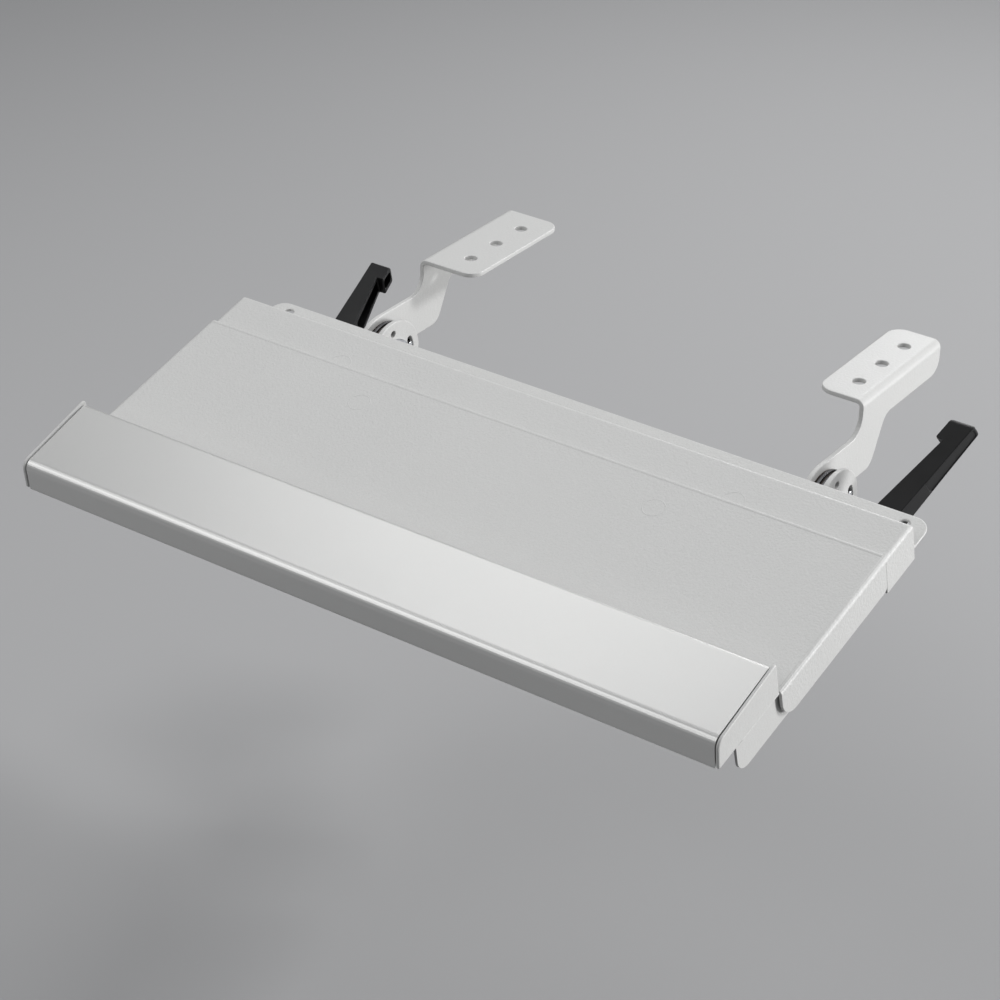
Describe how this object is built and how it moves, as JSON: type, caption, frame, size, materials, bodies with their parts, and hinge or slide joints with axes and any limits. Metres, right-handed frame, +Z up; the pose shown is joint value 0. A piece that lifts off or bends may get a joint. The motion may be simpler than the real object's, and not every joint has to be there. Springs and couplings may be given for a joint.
{
  "type": "keyboard tray",
  "caption": "Shallow sheet metal keyboard tray that hangs under a desk on bent arms, with friction tilt joints, clamping levers and a hand rest that slides out at the front.",
  "frame": {"origin": "centre of the desk screw holes, on the top face of the arm plates that meets the underside of the desk", "axes": "+Z up out of the desk plates, +X to the user's right along the tray's width, +Y to the back under the desk, so the tray reaches towards -Y"},
  "size_m": [0.482, 0.3916, 0.0817],
  "materials": {
    "powder_coat": "light grey fine textured powder coat on sheet steel",
    "zinc_steel": "zinc plated steel",
    "dark_steel": "blackened steel",
    "spring_steel": "bright spring wire",
    "friction_lining": "dark pressed fibre, matte",
    "lever_plastic": "black glass filled plastic, satin"
  },
  "bodies": {
    "arms": {"left_arm": "powder_coat", "right_arm": "powder_coat", "left_pivot_bush": "zinc_steel", "right_pivot_bush": "zinc_steel", "left_limit_pin": "zinc_steel", "right_limit_pin": "zinc_steel", "left_arm_lining": "friction_lining", "right_arm_lining": "friction_lining", "left_arm_disc": "dark_steel", "right_arm_disc": "dark_steel", "left_hub_washer": "zinc_steel", "right_pressure_washer": "zinc_steel", "right_clamp_nut": "zinc_steel"},
    "tray": {"left_bracket": "powder_coat", "right_bracket": "powder_coat", "left_ear_lining": "friction_lining", "right_ear_lining": "friction_lining", "left_ear_disc": "dark_steel", "right_ear_disc": "dark_steel", "left_pressure_washer": "zinc_steel", "left_clamp_nut": "zinc_steel", "right_hub_washer": "zinc_steel", "rear_carrier": "powder_coat", "carrier_studs": "zinc_steel", "bracket_nuts": "zinc_steel", "keyboard_shelf": "powder_coat", "shelf_studs": "zinc_steel", "strap_nuts": "zinc_steel", "left_guide_strap": "zinc_steel", "right_guide_strap": "zinc_steel"},
    "hand_rest": {"slide_plate": "powder_coat", "slide_studs": "zinc_steel", "slide_nuts": "zinc_steel", "hand_rest_cover": "powder_coat", "left_end_plate": "powder_coat", "right_end_plate": "powder_coat", "rest_screws": "zinc_steel", "rest_nuts": "zinc_steel"},
    "left_clamp": {"left_clamp_stud": "zinc_steel", "left_lever_screw": "dark_steel", "left_lever_spring": "spring_steel"},
    "left_handle": {"left_lever": "lever_plastic"},
    "right_clamp": {"right_clamp_stud": "zinc_steel", "right_lever_screw": "dark_steel", "right_lever_spring": "spring_steel"},
    "right_handle": {"right_lever": "lever_plastic"}
  },
  "joints": [
    {"name": "tray_tilt", "type": "hinge", "parent": "arms", "child": "tray", "pos_m": [0, -0.0942, -0.0497], "axis": [1, 0, 0], "range_deg": [-14, 16]},
    {"name": "hand_rest_slide", "type": "slide", "parent": "tray", "child": "hand_rest", "axis": [0, -0.9703, -0.2419], "range_m": [0, 0.03]},
    {"name": "left_lever_turn", "type": "hinge", "parent": "arms", "child": "left_clamp", "pos_m": [-0.1685, -0.0942, -0.0497], "axis": [1, 0, 0], "range_deg": [-75, 15]},
    {"name": "left_lever_lift", "type": "slide", "parent": "left_clamp", "child": "left_handle", "axis": [-1, 0, 0], "range_m": [0, 0.0035], "stiffness_N_per_m": 1000, "springref_m": -0.003, "deforming": ["left_lever_spring"]},
    {"name": "right_lever_turn", "type": "hinge", "parent": "tray", "child": "right_clamp", "pos_m": [0.1679, -0.0942, -0.0497], "axis": [1, 0, 0], "range_deg": [-90, 0]},
    {"name": "right_lever_lift", "type": "slide", "parent": "right_clamp", "child": "right_handle", "axis": [1, 0, 0], "range_m": [0, 0.0035], "stiffness_N_per_m": 1000, "springref_m": -0.003, "deforming": ["right_lever_spring"]}
  ]
}
